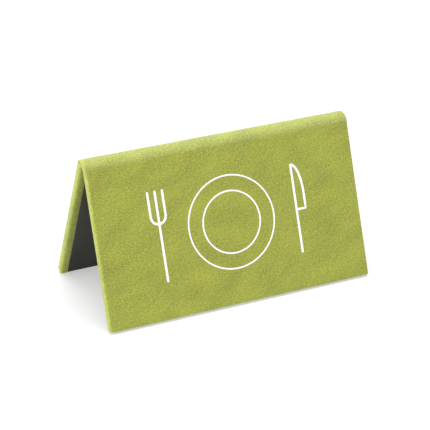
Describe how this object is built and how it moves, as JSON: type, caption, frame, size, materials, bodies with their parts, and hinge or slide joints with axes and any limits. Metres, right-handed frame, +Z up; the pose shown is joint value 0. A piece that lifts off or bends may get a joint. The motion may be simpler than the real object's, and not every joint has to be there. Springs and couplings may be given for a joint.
{
  "type": "table tent sign",
  "caption": "Folded table tent sign: two wrapped board panels joined by a soft round ridge, lined inside, free standing.",
  "frame": {"origin": "on the table, under the middle of the ridge", "axes": "+X along the ridge, -Y is the side that the front face looks to, +Z up"},
  "size_m": [0.12, 0.0584, 0.0654],
  "materials": {
    "wrap": "matt suede-effect nap, lime green",
    "board": "raw greyboard",
    "lining": "smooth uncoated charcoal"
  },
  "bodies": {
    "ridge": {"ridge_cover": "wrap", "ridge_lining": "lining"},
    "front_panel": {"front_cover": "wrap", "front_board": "board", "front_lining": "lining"},
    "rear_panel": {"rear_cover": "wrap", "rear_board": "board", "rear_lining": "lining"}
  },
  "joints": [
    {"name": "front_fold", "type": "hinge", "parent": "ridge", "child": "front_panel", "pos_m": [0, -0.00223, 0.06388], "axis": [-1, 0, 0], "range_deg": [-22.17, 67.83]},
    {"name": "rear_fold", "type": "hinge", "parent": "ridge", "child": "rear_panel", "pos_m": [0, 0.00223, 0.06388], "axis": [1, 0, 0], "range_deg": [-22.17, 67.83]}
  ],
  "couplings": [
    {"joint": "rear_fold", "follows": "front_fold", "ratio": 1}
  ]
}
